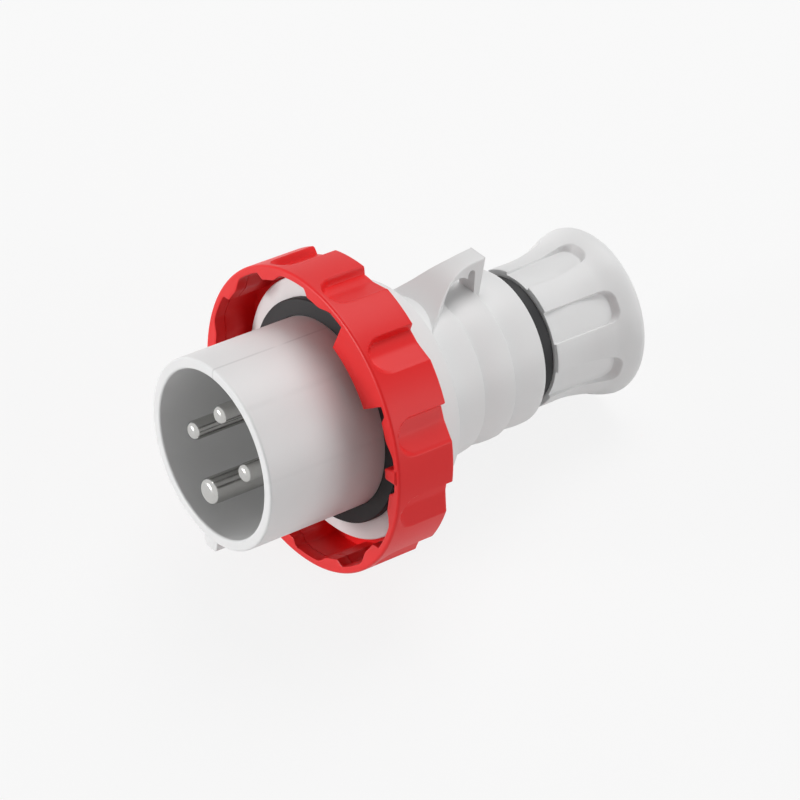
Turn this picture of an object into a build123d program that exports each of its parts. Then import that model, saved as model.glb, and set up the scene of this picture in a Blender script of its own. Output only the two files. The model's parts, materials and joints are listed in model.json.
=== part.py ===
# Industrial pin and sleeve plug, 16 A, three phases and earth, with a bayonet
# locking ring, a stepped rear housing with a cord lug, and a screwed cable gland.
# Millimetres. The plug is drawn on its own axis, Y, with the shroud's rim at
# y = 0, the cable end at +Y and the lug up, and is then laid down as it rests:
# on two grips of the ring and on the rim of the gland nut.
import os
from math import asin, atan2, cos, degrees, hypot, radians, sin
from build123d import *

# Contacts: standard pin diameters, on one circle, earth at the key
PHASE_PIN_R = 2.5
EARTH_PIN_R = 3.5
PIN_CIRCLE_R = 11.0
PHASE_TIP_Y = 1.6
EARTH_TIP_Y = -0.9
PIN_ANGLES = (270.0, 0.0, 90.0)
EARTH_ANGLE = 180.0
PIN_TIP_ROUND = 1.1
SHANK_STEP = 0.5
COLLAR_STEP = 1.4
TERMINAL_STEP = 0.9
TERMINAL_LENGTH = 11.0
WIRE_HOLE_R = 1.9
WIRE_HOLE_DEPTH = 8.5

# Shroud: the tube round the pins, its key rib and the flange behind it
SHROUD_R = 25.25
SHROUD_WALL = 2.95
RIM_ROUND = 0.5
KEY_WIDTH = 5.6
KEY_HEIGHT = 3.7
KEY_START_Y = 0.7
KEY_ROUND = 1.8
FLANGE_CLEARANCE = 1.9
FLANGE_FRONT_Y = 36.9
FLANGE_THICKNESS = 2.6
SPIGOT_WALL = 3.0
SPIGOT_LENGTH = 9.4
LEDGE_WIDTH = 1.8
LEDGE_THICKNESS = 1.6
NECK_SHOULDER = 3.0
MOULD_ROUND = 0.4
ROOT = 0.5

# Insert: the block that carries the pins and the plate that holds them in
CARRIER_DEPTH = 12.0
CARRIER_STEP = 0.4
RETAINER_THICKNESS = 3.4
CARRIER_KEY_WIDTH = 4.0
CARRIER_KEY_HEIGHT = 1.2
COLLAR_LENGTH = 6.4
FIXING_ANGLES = (45.0, 225.0)
FIXING_CIRCLE_R = 14.5
FIXING_SHANK_R = 1.5
FIXING_HEAD_R = 2.8
FIXING_LENGTH = 9.0
TERMINAL_SCREW_R = 1.6
TERMINAL_SCREW_HEAD_R = 2.3
TERMINAL_SCREW_HEAD = 1.8
TERMINAL_SCREW_REACH = 0.6
SLOT_WIDTH = 0.6
SLOT_DEPTH = 0.8

# Flat gaskets and seals
FACE_GASKET_WIDTH = 4.5
FACE_GASKET_THICKNESS = 2.3
HOUSING_SEAL_THICKNESS = 1.0
HOUSING_SEAL_WIDTH = 2.0

# Locking ring
RING_R = 40.7
RING_FRONT_Y = 27.2
RING_WIDTH = 17.2
RING_WALL = 2.0
RING_ROUND = 0.7
RING_WEB = 3.6
GRIPS = 12
GRIP_PHASE = 1.5
GRIP_SPAN = 14.5
GRIP_FLOOR_SPAN = 6.0
GRIP_DEPTH = 2.1
GRIP_FRONT = 1.4
GRIP_SAG = 0.25
GRIP_LEAD = 3.0
GRIP_INNER_DEPTH = 1.9
REAR_RIM = 4.4
RAMP_CLEARANCE = 1.75
RAMP_START = 22.5
RAMP_SPAN = 32.5
RAMP_THICKNESS = 3.4
RAMP_RISE = 1.6
RAMPS = 2
NUB_START = 79.0
NUB_SPAN = 6.2
NUB_REACH = 5.0
NUB_PROUD = 0.5
NUB_LENGTH = 3.2
RING_TURN = 40.0
STOP_ANGLE = 60.0
STOP_SPAN = 10.0
STOP_HEIGHT = 2.2

# Rear housing: front bell, three stepped grip sections, lug and gland spigot
BELL_STEP = 3.5
BELL_STRAIGHT = 3.0
BELL_TAPER = 3.1
BELL_END_Y = 56.2
BELL_ROUND = 1.0
STEP_ENDS_Y = (69.2, 79.3, 89.5)
STEP_ROOTS_R = (22.3, 20.9, 20.3)
STEP_CROWNS_R = (22.85, 21.9, 21.2)
STEP_LIPS_R = (22.15, 21.95, 21.2)
STEP_ROUND = 0.45
HOUSING_WALL = 2.2
GLAND_SPIGOT_R = 16.2
GLAND_SPIGOT_LENGTH = 21.0
GLAND_BORE_R = 12.7
GLAND_SHELF_R = 9.6
GLAND_SHELF = 3.0

# Cord lug: a ramp that narrows to a rear leg, with a crosswise eye under it
LUG_TOP = ((57.0, 17.5), (60.1, 20.1), (65.0, 24.6), (70.0, 28.3), (76.0, 30.5), (82.0, 31.2))
LUG_HALF_WIDTHS = ((57.0, 12.2), (60.1, 10.0), (65.0, 6.9), (70.0, 4.4), (74.5, 3.2), (82.0, 3.0))
LUG_ROOT_Z = 16.0
LUG_FOOT_Y = 79.4
LUG_EYE = ((64.0, 21.3), (66.2, 23.6), (69.0, 25.9), (71.6, 26.9),
           (74.0, 26.3), (76.2, 25.0), (78.0, 23.2), (78.9, 21.0))
LUG_SLOT_WIDTH = 2.2
LUG_SLOT_HEIGHT = 3.4
LUG_SLOT_AT = (77.85, 26.9)

# Gland: neck gasket, rubber bush, compression collet, slip washer, nut
NECK_GASKET_R = 17.5
NECK_GASKET_LENGTH = 5.9
SEAL_BORE_R = 7.2
SEAL_LENGTH = 11.0
SEAL_GROOVES = 3
SEAL_GROOVE_WIDTH = 1.4
SEAL_GROOVE_DEPTH = 1.2
COLLET_FLANGE_R = 15.4
COLLET_FLANGE = 1.8
COLLET_BORE_R = 8.8
COLLET_SLOTS = 6
COLLET_SLOT_WIDTH = 1.2
WASHER_R = 15.2
WASHER_BORE_R = 9.6
WASHER_THICKNESS = 1.4
NUT_FRONT_R = 19.2
NUT_STRAIGHT = 8.0
NUT_WAIST = 17.95
NUT_WAIST_R = 20.8
NUT_FLARE = 24.9
NUT_FLARE_R = 22.95
NUT_REAR_ROUND = 2.3
NUT_FRONT_ROUND = 0.5
NUT_MOUTH_R = 9.4
NUT_MOUTH_FLARE = 2.2
NUT_GRIPS = 7
NUT_GRIP_PHASE = 52.5
NUT_GRIP_WIDTH = 8.6
NUT_GRIP_LENGTH = 19.9
NUT_GRIP_FRONT_DEPTH = 1.4
NUT_GRIP_REAR_DEPTH = 1.8
NUT_GRIP_CORNER = 3.0

# Clearances
FIT = 0.05
GAP = 0.3
LOOSE = 0.1

# Places that follow from the sizes above
SHROUD_BORE_R = SHROUD_R - SHROUD_WALL
CARRIER_R = SHROUD_BORE_R - CARRIER_STEP
SPIGOT_R = CARRIER_R + LOOSE + SPIGOT_WALL
NECK_R = SPIGOT_R + NECK_SHOULDER
BELL_R = NECK_R + BELL_STEP
BELL_END_R = BELL_R - BELL_TAPER
FACE_GASKET_R = SHROUD_R + FACE_GASKET_WIDTH
RING_INSIDE_R = RING_R - RING_WALL
RING_TIP_R = RING_INSIDE_R - GRIP_INNER_DEPTH
FLANGE_R = RING_TIP_R - FLANGE_CLEARANCE
RAMP_INNER_R = SHROUD_R + KEY_HEIGHT + RAMP_CLEARANCE
NUB_INNER_R = RING_R - NUB_REACH
FLANGE_REAR_Y = FLANGE_FRONT_Y + FLANGE_THICKNESS
WEB_FRONT_Y = FLANGE_REAR_Y + GAP
WEB_REAR_Y = WEB_FRONT_Y + RING_WEB
NECK_END_Y = WEB_REAR_Y + GAP
RING_REAR_Y = RING_FRONT_Y + RING_WIDTH
SPIGOT_END_Y = NECK_END_Y + SPIGOT_LENGTH
CARRIER_FRONT_Y = FLANGE_FRONT_Y + LEDGE_THICKNESS
CARRIER_REAR_Y = CARRIER_FRONT_Y + CARRIER_DEPTH
COLLAR_FRONT_Y = CARRIER_REAR_Y - COLLAR_LENGTH
RETAINER_REAR_Y = CARRIER_REAR_Y + RETAINER_THICKNESS
TERMINAL_END_Y = RETAINER_REAR_Y + TERMINAL_LENGTH
SCREW_Y = TERMINAL_END_Y - WIRE_HOLE_DEPTH / 2
SHOULDER_Y = RETAINER_REAR_Y
GLAND_FACE_Y = STEP_ENDS_Y[-1]
GLAND_SPIGOT_END_Y = GLAND_FACE_Y + GLAND_SPIGOT_LENGTH
COLLET_FLANGE_REAR_Y = GLAND_SPIGOT_END_Y + GAP + COLLET_FLANGE
WASHER_FRONT_Y = COLLET_FLANGE_REAR_Y + GAP
WASHER_REAR_Y = WASHER_FRONT_Y + WASHER_THICKNESS
NUT_FRONT_Y = GLAND_FACE_Y + NECK_GASKET_LENGTH + GAP
NUT_SHOULDER_Y = WASHER_REAR_Y + LOOSE
NUT_WAIST_Y = NUT_FRONT_Y + NUT_WAIST
NUT_FLARE_Y = NUT_FRONT_Y + NUT_FLARE
NUT_REAR_Y = NUT_FLARE_Y + NUT_REAR_ROUND
NUT_GRIP_END_Y = NUT_FRONT_Y + NUT_GRIP_LENGTH
SEAL_FRONT_Y = GLAND_FACE_Y + GLAND_SHELF
SEAL_REAR_Y = SEAL_FRONT_Y + SEAL_LENGTH
CAVITY_REAR_Y = GLAND_FACE_Y - HOUSING_WALL


def around(angle, radius, y=0.0):
    """A point at an angle from the top, turning towards +X, on a circle about the axis."""
    return (radius * sin(radians(angle)), y, radius * cos(radians(angle)))


def turned(points):
    """A closed outline of (y, radius) points, turned about the axis."""
    outline = Polyline([(radius, y) for y, radius in points], close=True)
    return revolve(make_face(outline), Axis.Y)


def tube(y0, y1, outer, inner=0.0):
    """A plain round tube or disc on the axis."""
    return turned([(y0, inner), (y0, outer), (y1, outer), (y1, inner)])


def rod(angle, circle_r, y0, y1, radius):
    """A round bar along the plug, standing on a circle about the axis."""
    start = Plane(origin=around(angle, circle_r, y0), z_dir=(0, 1, 0))
    return extrude(start * Circle(radius), y1 - y0)


def section(outline_points, y0, y1):
    """A cross-section given as (x, z) points, carried from y0 to y1."""
    front = Plane(origin=(0, y0, 0), x_dir=(1, 0, 0), z_dir=(0, -1, 0))
    face = make_face(Polyline(outline_points, close=True))
    return extrude(front * face, -(y1 - y0))


def wedge(start, span, y0, y1, inner, outer):
    """A sector of a ring between two angles, two radii and two places on the axis."""
    steps = max(2, int(span / 8) + 1)
    angles = [start + span * i / steps for i in range(steps + 1)]
    reach = outer / cos(radians(span / steps / 2))
    points = [around(a, reach) for a in angles]
    sector = [(x, z) for x, y, z in points] + [(0, 0)]
    block = section(sector, y0, y1)
    return (block & tube(y0 - 1, y1 + 1, outer, inner))


def turned_copies(shape, count, first=0.0):
    """Copies of a shape, evenly turned about the axis."""
    return [Rot(0, first + i * 360 / count, 0) * shape for i in range(count)]


def minus(body, tools):
    """A body with each tool cut from it in turn."""
    for tool in tools:
        body = body - tool
    return body


def edges_on_circle(body, y, radius):
    """The circular edges at one place on the axis and of one radius."""
    found = []
    for edge in body.edges().filter_by(GeomType.CIRCLE):
        centre = edge.arc_center
        if abs(centre.Y - y) < 1e-3 and abs(edge.radius - radius) < 1e-3:
            found.append(edge)
    return found


# Shroud housing: one moulding of shroud, flange, ring bearing and threaded spigot
def shroud_housing():
    body = turned([
        (0.0, SHROUD_BORE_R),
        (0.0, SHROUD_R),
        (FLANGE_FRONT_Y, SHROUD_R),
        (FLANGE_FRONT_Y, FLANGE_R),
        (FLANGE_REAR_Y, FLANGE_R),
        (FLANGE_REAR_Y, NECK_R),
        (NECK_END_Y, NECK_R),
        (NECK_END_Y, SPIGOT_R),
        (SPIGOT_END_Y, SPIGOT_R),
        (SPIGOT_END_Y, CARRIER_R + LOOSE),
        (CARRIER_FRONT_Y, CARRIER_R + LOOSE),
        (CARRIER_FRONT_Y, SHROUD_BORE_R - LEDGE_WIDTH),
        (FLANGE_FRONT_Y, SHROUD_BORE_R - LEDGE_WIDTH),
        (FLANGE_FRONT_Y, SHROUD_BORE_R),
    ])
    rim = edges_on_circle(body, 0, SHROUD_R) + edges_on_circle(body, 0, SHROUD_BORE_R)
    body = fillet(rim, RIM_ROUND)
    flange_front = edges_on_circle(body, FLANGE_FRONT_Y, FLANGE_R)
    flange_rear = edges_on_circle(body, FLANGE_REAR_Y, FLANGE_R)
    body = fillet(flange_front + flange_rear, MOULD_ROUND)
    key_length = FLANGE_FRONT_Y - FACE_GASKET_THICKNESS - GAP - KEY_START_Y
    key_middle_z = -(SHROUD_R + (KEY_HEIGHT - ROOT) / 2)
    key = Pos(0, KEY_START_Y + key_length / 2, key_middle_z) * Box(
        KEY_WIDTH, key_length, KEY_HEIGHT + ROOT)
    key = fillet(key.edges().filter_by(Axis.Y).group_by(Axis.Z)[0], KEY_ROUND)
    key = fillet(key.faces().sort_by(Axis.Y)[0].edges(), MOULD_ROUND)
    body = body + key
    groove = Pos(0, (CARRIER_FRONT_Y + SPIGOT_END_Y) / 2, -CARRIER_R) * Box(
        CARRIER_KEY_WIDTH + 2 * LOOSE, SPIGOT_END_Y - CARRIER_FRONT_Y, 2 * (CARRIER_KEY_HEIGHT + LOOSE))
    body = body - groove
    for angle in (STOP_ANGLE, STOP_ANGLE + 180):
        stop = wedge(angle - STOP_SPAN / 2, STOP_SPAN, FLANGE_REAR_Y, NECK_END_Y,
                     NECK_R - ROOT, NECK_R + STOP_HEIGHT)
        body = body + stop
    return body


# Contact carrier: moulded block with a seat for each pin and its collar
def contact_carrier():
    block = tube(CARRIER_FRONT_Y, CARRIER_REAR_Y, CARRIER_R)
    key = Pos(0, (CARRIER_FRONT_Y + CARRIER_REAR_Y) / 2, -CARRIER_R) * Box(
        CARRIER_KEY_WIDTH, CARRIER_DEPTH, 2 * CARRIER_KEY_HEIGHT)
    block = block + key
    holes = []
    for angle, pin_r in pin_places():
        holes.append(rod(angle, PIN_CIRCLE_R, CARRIER_FRONT_Y - 1, CARRIER_REAR_Y + 1,
                         pin_r + SHANK_STEP + FIT))
        holes.append(rod(angle, PIN_CIRCLE_R, COLLAR_FRONT_Y, CARRIER_REAR_Y + 1,
                         pin_r + COLLAR_STEP + FIT))
    for angle in FIXING_ANGLES:
        holes.append(rod(angle, FIXING_CIRCLE_R, CARRIER_REAR_Y - FIXING_LENGTH + RETAINER_THICKNESS - GAP,
                         CARRIER_REAR_Y + 1, FIXING_SHANK_R + FIT))
    return minus(block, holes)


# Pin retainer: plate behind the carrier, countersunk for its two screws
def pin_retainer():
    plate = tube(CARRIER_REAR_Y, RETAINER_REAR_Y, CARRIER_R)
    holes = []
    for angle, pin_r in pin_places():
        holes.append(rod(angle, PIN_CIRCLE_R, CARRIER_REAR_Y - 1, RETAINER_REAR_Y + 1,
                         pin_r + TERMINAL_STEP + FIT))
    for angle in FIXING_ANGLES:
        holes.append(rod(angle, FIXING_CIRCLE_R, CARRIER_REAR_Y - 1, RETAINER_REAR_Y + 1,
                         FIXING_SHANK_R + FIT))
        place = Plane(origin=around(angle, FIXING_CIRCLE_R, RETAINER_REAR_Y), z_dir=(0, -1, 0))
        sink = place * Cone(FIXING_HEAD_R + LOOSE + FIT, FIXING_SHANK_R + FIT,
                            FIXING_HEAD_R - FIXING_SHANK_R + LOOSE,
                            align=(Align.CENTER, Align.CENTER, Align.MIN))
        holes.append(sink)
    return minus(plate, holes)


def pin_places():
    """Each pin's angle and radius, phases first and earth last."""
    return [(angle, PHASE_PIN_R) for angle in PIN_ANGLES] + [(EARTH_ANGLE, EARTH_PIN_R)]


# Contact pin: turned brass, rounded tip, shank and collar in the carrier, pillar terminal
def contact_pin(angle, pin_r, tip_y):
    y_shank = CARRIER_FRONT_Y
    tip = rod(angle, PIN_CIRCLE_R, tip_y, y_shank, pin_r)
    tip = fillet(tip.faces().sort_by(Axis.Y)[0].edges(), PIN_TIP_ROUND)
    shank = rod(angle, PIN_CIRCLE_R, y_shank, COLLAR_FRONT_Y, pin_r + SHANK_STEP)
    collar = rod(angle, PIN_CIRCLE_R, COLLAR_FRONT_Y, CARRIER_REAR_Y, pin_r + COLLAR_STEP)
    terminal = rod(angle, PIN_CIRCLE_R, CARRIER_REAR_Y, TERMINAL_END_Y, pin_r + TERMINAL_STEP)
    pin = tip + shank + collar + terminal
    wire_hole = rod(angle, PIN_CIRCLE_R, TERMINAL_END_Y - WIRE_HOLE_DEPTH, TERMINAL_END_Y + 1, WIRE_HOLE_R)
    outward = Plane(origin=around(angle, PIN_CIRCLE_R, SCREW_Y), z_dir=around(angle, 1.0))
    screw_hole = extrude(outward * Circle(TERMINAL_SCREW_R + FIT), pin_r + TERMINAL_STEP + 1)
    return pin - wire_hole - screw_hole


# Terminal screw: slotted pillar screw, radial, its point inside the wire hole
def terminal_screw(angle, pin_r):
    reach = pin_r + TERMINAL_STEP
    point_r = PIN_CIRCLE_R + WIRE_HOLE_R - TERMINAL_SCREW_REACH
    outward = Plane(origin=around(angle, point_r, SCREW_Y), z_dir=around(angle, 1.0))
    shank_length = reach - WIRE_HOLE_R + TERMINAL_SCREW_REACH + LOOSE
    shank = extrude(outward * Circle(TERMINAL_SCREW_R), shank_length)
    head_plane = outward.offset(shank_length)
    head = extrude(head_plane * Circle(TERMINAL_SCREW_HEAD_R), TERMINAL_SCREW_HEAD)
    slot = head_plane.offset(TERMINAL_SCREW_HEAD - SLOT_DEPTH / 2) * Box(
        3 * TERMINAL_SCREW_HEAD_R, SLOT_WIDTH, SLOT_DEPTH)
    return shank + head - slot


# Carrier screw: countersunk, from the back through the retainer into the carrier
def carrier_screw(angle):
    place = Plane(origin=around(angle, FIXING_CIRCLE_R, RETAINER_REAR_Y - LOOSE), z_dir=(0, -1, 0))
    up = (Align.CENTER, Align.CENTER, Align.MIN)
    head = place * Cone(FIXING_HEAD_R, FIXING_SHANK_R, FIXING_HEAD_R - FIXING_SHANK_R, align=up)
    shank = place * Cylinder(FIXING_SHANK_R, FIXING_LENGTH - LOOSE, align=up)
    slot = place.offset(SLOT_DEPTH / 2) * Box(3 * FIXING_HEAD_R, SLOT_WIDTH, SLOT_DEPTH)
    return head + shank - slot


# Face gasket: flat rubber ring round the shroud, on the flange
def face_gasket():
    front = FLANGE_FRONT_Y - FACE_GASKET_THICKNESS
    ring = tube(front, FLANGE_FRONT_Y, FACE_GASKET_R, SHROUD_R + LOOSE)
    return fillet(edges_on_circle(ring, front, FACE_GASKET_R), MOULD_ROUND)


# Housing seal: flat rubber ring between the two housings, round the spigot
def housing_seal():
    return tube(NECK_END_Y, NECK_END_Y + HOUSING_SEAL_THICKNESS, SPIGOT_R + LOOSE + HOUSING_SEAL_WIDTH,
                SPIGOT_R + LOOSE)


def grip_outline(flat_r, floor_r, lead):
    """A round outline with a ratchet-like dip behind each grip's step, as (x, z) points."""
    pitch = 360 / GRIPS
    points = []
    for i in range(GRIPS):
        start = GRIP_PHASE + i * pitch
        stops = [(start - lead, flat_r), (start, floor_r), (start + GRIP_FLOOR_SPAN, floor_r),
                 (start + (GRIP_FLOOR_SPAN + GRIP_SPAN) / 2, (flat_r + floor_r) / 2 + GRIP_SAG),
                 (start + GRIP_SPAN, flat_r)]
        rest = pitch - lead - GRIP_SPAN
        stops += [(start + GRIP_SPAN + rest * step / 3, flat_r) for step in (1, 2)]
        for angle, radius in stops:
            x, y, z = around(angle, radius)
            points.append((x, z))
    return points


# Locking ring: skirt with scooped grips, bayonet ramps inside, web that turns on the neck
def locking_ring():
    ring = tube(RING_FRONT_Y, RING_REAR_Y, RING_R, NECK_R + FIT)
    rims = edges_on_circle(ring, RING_FRONT_Y, RING_R) + edges_on_circle(ring, RING_REAR_Y, RING_R)
    ring = fillet(rims, RING_ROUND)
    mouth = section(grip_outline(RING_INSIDE_R, RING_TIP_R, GRIP_LEAD), RING_FRONT_Y - 1, WEB_FRONT_Y)
    ring = ring - mouth
    ring = ring - tube(WEB_REAR_Y, RING_REAR_Y + 1, RING_R - REAR_RIM)
    ring = minus(ring, turned_copies(grip_scoop(), GRIPS, GRIP_PHASE))
    for i in range(RAMPS):
        turn = i * 360 / RAMPS
        ring = ring + Rot(0, turn, 0) * bayonet_ramp()
        nub = wedge(NUB_START, NUB_SPAN, RING_FRONT_Y - NUB_PROUD, RING_FRONT_Y + NUB_LENGTH,
                    NUB_INNER_R, RING_R - RING_WALL / 2)
        ring = ring + Rot(0, turn, 0) * nub
    play = degrees(GAP / NECK_R)
    for angle in (STOP_ANGLE, STOP_ANGLE + 180):
        notch = wedge(angle - STOP_SPAN / 2 - play, STOP_SPAN + 2 * play + RING_TURN,
                      WEB_FRONT_Y - 1, WEB_REAR_Y + 1, NECK_R - 1, NECK_R + STOP_HEIGHT + GAP)
        ring = ring - notch
    return ring


def grip_scoop():
    """One finger scoop, starting at the top: a steep step, a floor, and a slope out to the skin."""
    outside = RING_R + 2
    floor_r = RING_R - GRIP_DEPTH
    start = (0.0, outside)
    corner = (0.0, floor_r)
    floor_end = around(GRIP_FLOOR_SPAN, floor_r)
    skin = around(GRIP_SPAN, RING_R)
    beyond = around(GRIP_SPAN, outside)
    front_y = RING_FRONT_Y + GRIP_FRONT
    front = Plane(origin=(0, front_y, 0), x_dir=(1, 0, 0), z_dir=(0, -1, 0))
    edge = Polyline([start, corner, (floor_end[0], floor_end[2])])
    halfway = ((floor_end[0] + skin[0]) / 2, (floor_end[2] + skin[2]) / 2 - GRIP_SAG)
    slope = ThreePointArc((floor_end[0], floor_end[2]), halfway, (skin[0], skin[2]))
    lid = Polyline([(skin[0], skin[2]), (beyond[0], beyond[2]), start])
    face = make_face(Curve() + [edge, slope, lid])
    depth = RING_WIDTH
    trough = extrude(front * face, -depth)
    width = skin[0]
    arch = Pos(width / 2, front_y + width / 2, 0) * Cylinder(width / 2, 3 * RING_R)
    straight = Pos(width / 2, front_y + width / 2 + depth / 2, 0) * Box(width, depth, 3 * RING_R)
    return trough & (arch + straight)


def bayonet_ramp():
    """A block inside the ring's mouth whose rear face climbs round the axis."""
    steps = 4
    block = None
    for i in range(steps):
        thickness = RAMP_THICKNESS + RAMP_RISE * i / (steps - 1)
        piece = wedge(RAMP_START + RAMP_SPAN * i / steps, RAMP_SPAN / steps, RING_FRONT_Y,
                      RING_FRONT_Y + thickness, RAMP_INNER_R, RING_R - RING_WALL / 2)
        block = piece if block is None else block + piece
    return block


# Rear housing: bell, three grip sections, cord lug, gland spigot, wiring space inside
def rear_housing():
    shell = housing_outside() + cord_lug()
    shell = shell - housing_inside()
    return shell


def housing_outside():
    """The outside of the housing, each section a crowned ring with a rounded rear lip."""
    first = NECK_END_Y
    bell = turned([(first, 0), (first, BELL_R), (first + BELL_STRAIGHT, BELL_R),
                   (BELL_END_Y, BELL_END_R), (BELL_END_Y, 0)])
    bell = fillet(edges_on_circle(bell, BELL_END_Y, BELL_END_R), BELL_ROUND)
    bell = fillet(edges_on_circle(bell, first, BELL_R), MOULD_ROUND)
    body = bell
    start = BELL_END_Y
    for end, root, crown, lip in zip(STEP_ENDS_Y, STEP_ROOTS_R, STEP_CROWNS_R, STEP_LIPS_R):
        outer = ThreePointArc((root, start), (crown, (start + end) / 2), (lip, end))
        rest = Polyline([(lip, end), (0, end), (0, start), (root, start)])
        ring = revolve(make_face(Curve() + [outer, rest]), Axis.Y)
        ring = fillet(edges_on_circle(ring, end, lip), STEP_ROUND)
        body = body + ring
        start = end
    spigot = tube(GLAND_FACE_Y, GLAND_SPIGOT_END_Y, GLAND_SPIGOT_R)
    return body + spigot


def housing_inside():
    """The space for the spigot, the terminals and wires, the gland seal and the cable."""
    walls = [root - HOUSING_WALL for root in STEP_ROOTS_R]
    seat = NECK_END_Y + HOUSING_SEAL_THICKNESS
    return turned([
        (NECK_END_Y - 1, 0),
        (NECK_END_Y - 1, SPIGOT_R + LOOSE + HOUSING_SEAL_WIDTH + LOOSE),
        (seat, SPIGOT_R + LOOSE + HOUSING_SEAL_WIDTH + LOOSE),
        (seat, SPIGOT_R + FIT),
        (SHOULDER_Y, SPIGOT_R + FIT),
        (SHOULDER_Y, walls[0]),
        (STEP_ENDS_Y[0] - HOUSING_WALL, walls[0]),
        (STEP_ENDS_Y[0] - HOUSING_WALL, walls[1]),
        (STEP_ENDS_Y[1] - HOUSING_WALL, walls[1]),
        (STEP_ENDS_Y[1] - HOUSING_WALL, walls[2]),
        (CAVITY_REAR_Y, walls[2]),
        (CAVITY_REAR_Y, GLAND_SHELF_R),
        (SEAL_FRONT_Y, GLAND_SHELF_R),
        (SEAL_FRONT_Y, GLAND_BORE_R),
        (GLAND_SPIGOT_END_Y + 1, GLAND_BORE_R),
        (GLAND_SPIGOT_END_Y + 1, 0),
    ])


def cord_lug():
    """The lug: its side view across the plug, cut to its outline from above, with eye and slot removed."""
    across = 2 * LUG_HALF_WIDTHS[0][1] + 2
    side = Plane.YZ.offset(-across / 2)
    first = LUG_TOP[0]
    last = LUG_TOP[-1]
    top_curve = Spline(list(LUG_TOP))
    closing = Polyline([last, (LUG_FOOT_Y, LUG_ROOT_Z), (first[0], LUG_ROOT_Z), first])
    block = extrude(side * make_face(Curve() + [top_curve, closing]), across)
    edge = Spline([(half, y) for y, half in LUG_HALF_WIDTHS])
    mirror_edge = Spline([(-half, y) for y, half in LUG_HALF_WIDTHS])
    front_y, front_half = LUG_HALF_WIDTHS[0]
    rear_y, rear_half = LUG_HALF_WIDTHS[-1]
    front_line = Line((front_half, front_y), (-front_half, front_y))
    rear_line = Line((rear_half, rear_y), (-rear_half, rear_y))
    above = extrude(make_face(Curve() + [edge, rear_line, mirror_edge, front_line]), 2 * last[1])
    roof = Spline(list(LUG_EYE))
    eye_front_y = LUG_EYE[0][0]
    eye_rear_y = LUG_EYE[-1][0]
    floor = Polyline([LUG_EYE[-1], (eye_rear_y, LUG_ROOT_Z), (eye_front_y, LUG_ROOT_Z), LUG_EYE[0]])
    eye = extrude(side * make_face(Curve() + [roof, floor]), across)
    slot_outline = Pos(*LUG_SLOT_AT) * Rot(0, 0, 90) * SlotOverall(LUG_SLOT_HEIGHT, LUG_SLOT_WIDTH)
    slot = extrude(side * slot_outline, across)
    return (block & above) - eye - slot


# Neck gasket: black rubber sleeve between the last section and the nut
def neck_gasket():
    return tube(GLAND_FACE_Y, GLAND_FACE_Y + NECK_GASKET_LENGTH, NECK_GASKET_R, GLAND_SPIGOT_R + LOOSE)


# Gland seal: rubber bush that the nut squeezes onto the cable, with three inner lips
def gland_seal():
    bush = tube(SEAL_FRONT_Y, SEAL_REAR_Y, GLAND_BORE_R - LOOSE, SEAL_BORE_R)
    grooves = []
    for i in range(SEAL_GROOVES):
        middle = SEAL_FRONT_Y + SEAL_LENGTH * (i + 1) / (SEAL_GROOVES + 1)
        grooves.append(tube(middle - SEAL_GROOVE_WIDTH / 2, middle + SEAL_GROOVE_WIDTH / 2,
                            SEAL_BORE_R + SEAL_GROOVE_DEPTH))
    return minus(bush, grooves)


# Clamp collet: slotted compression ring between the seal and the slip washer
def clamp_collet():
    nose = tube(SEAL_REAR_Y + LOOSE, COLLET_FLANGE_REAR_Y, GLAND_BORE_R - LOOSE, COLLET_BORE_R)
    flange = tube(GLAND_SPIGOT_END_Y + LOOSE, COLLET_FLANGE_REAR_Y, COLLET_FLANGE_R, COLLET_BORE_R)
    slot_length = COLLET_FLANGE_REAR_Y - SEAL_REAR_Y - COLLET_FLANGE - GAP
    slot = Pos(0, SEAL_REAR_Y + slot_length / 2, COLLET_FLANGE_R / 2) * Box(
        COLLET_SLOT_WIDTH, slot_length, COLLET_FLANGE_R)
    return minus(nose + flange, turned_copies(slot, COLLET_SLOTS))


# Slip washer: lets the nut turn without twisting the seal
def slip_washer():
    return tube(WASHER_FRONT_Y, WASHER_REAR_Y, WASHER_R, WASHER_BORE_R)


# Gland nut: flared hand nut with seven open grip grooves
def gland_nut():
    flare_start = NUT_FRONT_Y + NUT_STRAIGHT
    front = Line((NUT_FRONT_R, NUT_FRONT_Y), (NUT_FRONT_R, flare_start))
    flare = Spline([(NUT_FRONT_R, flare_start), (NUT_WAIST_R, NUT_WAIST_Y), (NUT_FLARE_R, NUT_FLARE_Y)],
                   tangents=[(0, 1), (0, 1)])
    rear_corner = JernArc((NUT_FLARE_R, NUT_FLARE_Y), (0, 1), NUT_REAR_ROUND, 90)
    rear = Polyline([rear_corner @ 1, (0, NUT_REAR_Y), (0, NUT_FRONT_Y), (NUT_FRONT_R, NUT_FRONT_Y)])
    body = revolve(make_face(Curve() + [front, flare, rear_corner, rear]), Axis.Y)
    body = fillet(edges_on_circle(body, NUT_FRONT_Y, NUT_FRONT_R), NUT_FRONT_ROUND)
    body = body - tube(NUT_FRONT_Y - 1, NUT_SHOULDER_Y, GLAND_SPIGOT_R + FIT)
    body = body - turned([
        (NUT_SHOULDER_Y - 1, 0),
        (NUT_SHOULDER_Y - 1, NUT_MOUTH_R),
        (NUT_REAR_Y - NUT_MOUTH_FLARE, NUT_MOUTH_R),
        (NUT_REAR_Y + 0.01, NUT_MOUTH_R + NUT_MOUTH_FLARE),
        (NUT_REAR_Y + 1, NUT_MOUTH_R + NUT_MOUTH_FLARE),
        (NUT_REAR_Y + 1, 0),
    ])
    return minus(body, turned_copies(nut_groove(), NUT_GRIPS, NUT_GRIP_PHASE))


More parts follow.
